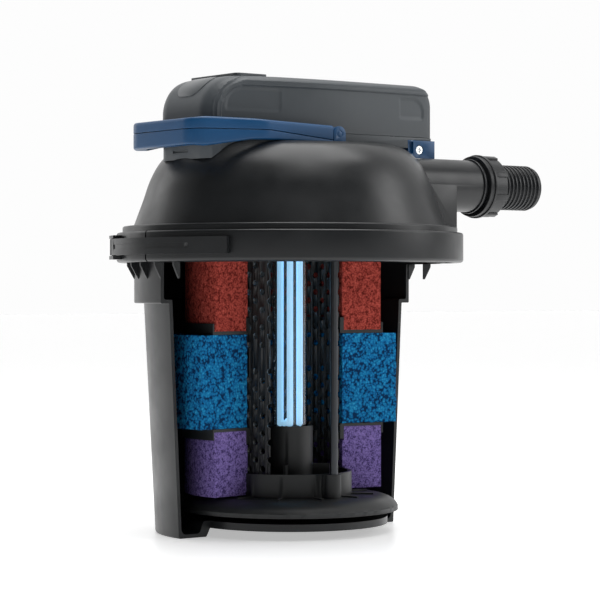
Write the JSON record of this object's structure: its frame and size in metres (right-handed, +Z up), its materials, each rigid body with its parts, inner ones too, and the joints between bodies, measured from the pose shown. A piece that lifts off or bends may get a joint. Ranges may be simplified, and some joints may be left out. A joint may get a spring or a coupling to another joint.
{
  "type": "pressurized pond filter",
  "caption": "Bucket-shaped pond pressure filter shown cut open, with stacked foams on a perforated core tube, a lamp, a clamping ring, a domed lid and a carrying handle.",
  "frame": {"origin": "centre of the bucket's foot, on the ground, on the axis of the bucket", "axes": "+Z up along the bucket's axis, +X towards the hose connections"},
  "size_m": [0.4792, 0.38, 0.4936],
  "materials": {
    "casing_black": "satin moulded",
    "head_grey": "satin moulded",
    "panel_grey": "smooth",
    "handle_blue": "satin moulded",
    "steel": "drawn",
    "bright_steel": "polished",
    "seal_rubber": "matte",
    "foam_red": "open-cell foam",
    "foam_blue": "coarse open-cell foam",
    "foam_purple": "open-cell foam",
    "ballast_metal": "painted",
    "lamp_glass": "clear, lit",
    "quartz": "clear"
  },
  "bodies": {
    "filter_body": {"bucket": "casing_black", "rim_seal": "seal_rubber", "ring_hinge_pin": "steel", "lid": "casing_black", "insert_plate": "casing_black", "outlet_chamber": "casing_black", "hose_tail_outlet": "casing_black", "hose_tail_inlet": "casing_black", "port_gaskets": "seal_rubber", "foam_red": "foam_red", "core_tube": "casing_black", "lamp_guard": "casing_black", "rod_seals": "seal_rubber", "head_cover": "head_grey", "head_base": "head_grey", "head_gasket": "seal_rubber", "top_panel": "panel_grey", "top_rail": "head_grey", "rear_lock": "handle_blue", "lock_screw": "bright_steel", "cover_screws": "steel", "ballast": "ballast_metal", "lamp_socket": "casing_black", "sleeve_nut": "casing_black", "sleeve_seal": "seal_rubber", "uv_lamp": "lamp_glass", "quartz_sleeve": "quartz", "cable_gland": "casing_black"},
    "clamp_near": {"clamp_ring_near": "casing_black"},
    "clamp_far": {"clamp_ring_far": "casing_black", "latch_pin": "steel"},
    "latch": {"latch_lever": "casing_black", "latch_link_pin": "steel"},
    "latch_strap": {"latch_link": "casing_black"},
    "nut_outlet": {"union_nut_outlet": "casing_black"},
    "nut_inlet": {"union_nut_inlet": "casing_black"},
    "upper_stage": {"separator_upper": "casing_black", "foam_blue": "foam_blue"},
    "lower_stage": {"separator_lower": "casing_black", "foam_purple": "foam_purple"},
    "lift": {"base_plate": "casing_black", "lift_rods": "steel", "rod_nuts": "steel", "handle_brackets": "handle_blue", "handle_pins": "handle_blue"},
    "handle": {"handle_upper": "handle_blue", "handle_lower": "handle_blue", "handle_screws": "steel"}
  },
  "joints": [
    {"name": "handle_swing", "type": "hinge", "parent": "lift", "child": "handle", "pos_m": [0, 0, 0.4305], "axis": [0, 1, 0], "range_deg": [0, 98]},
    {"name": "cleaning_lift", "type": "slide", "parent": "filter_body", "child": "lift", "axis": [0, 0, 1], "range_m": [0, 0.075], "deforming": ["foam_purple"]},
    {"name": "upper_separator_slide", "type": "slide", "parent": "filter_body", "child": "upper_stage", "axis": [0, 0, 1], "range_m": [0, 0.0245], "deforming": ["foam_red"]},
    {"name": "lower_separator_slide", "type": "slide", "parent": "filter_body", "child": "lower_stage", "axis": [0, 0, 1], "range_m": [0, 0.0545], "deforming": ["foam_blue"]},
    {"name": "latch_swing", "type": "hinge", "parent": "clamp_far", "child": "latch", "pos_m": [-0.17996, 0.07639, 0.31], "axis": [0, 0, -1], "range_deg": [0, 110]},
    {"name": "latch_strap_swing", "type": "hinge", "parent": "latch", "child": "latch_strap", "pos_m": [-0.18893, 0.04362, 0.31], "axis": [0, 0, 1], "range_deg": [0, 39]},
    {"name": "clamp_near_swing", "type": "hinge", "parent": "filter_body", "child": "clamp_near", "pos_m": [0.195, 0, 0.31], "axis": [0, 0, 1], "range_deg": [0, 6.1]},
    {"name": "clamp_far_swing", "type": "hinge", "parent": "filter_body", "child": "clamp_far", "pos_m": [0.195, 0, 0.31], "axis": [0, 0, -1], "range_deg": [0, 6.1]},
    {"name": "nut_outlet_turn", "type": "hinge", "parent": "filter_body", "child": "nut_outlet", "pos_m": [0.207, -0.0805, 0.38], "axis": [1, 0, 0], "continuous": true},
    {"name": "nut_inlet_turn", "type": "hinge", "parent": "filter_body", "child": "nut_inlet", "pos_m": [0.207, 0.0805, 0.38], "axis": [1, 0, 0], "continuous": true}
  ],
  "couplings": [
    {"joint": "upper_separator_slide", "follows": "cleaning_lift", "ratio": 0.32},
    {"joint": "lower_separator_slide", "follows": "cleaning_lift", "ratio": 0.72},
    {"joint": "latch_strap_swing", "follows": "latch_swing", "ratio": 0.35},
    {"joint": "clamp_near_swing", "follows": "latch_swing", "ratio": 0.055},
    {"joint": "clamp_far_swing", "follows": "latch_swing", "ratio": 0.055}
  ]
}
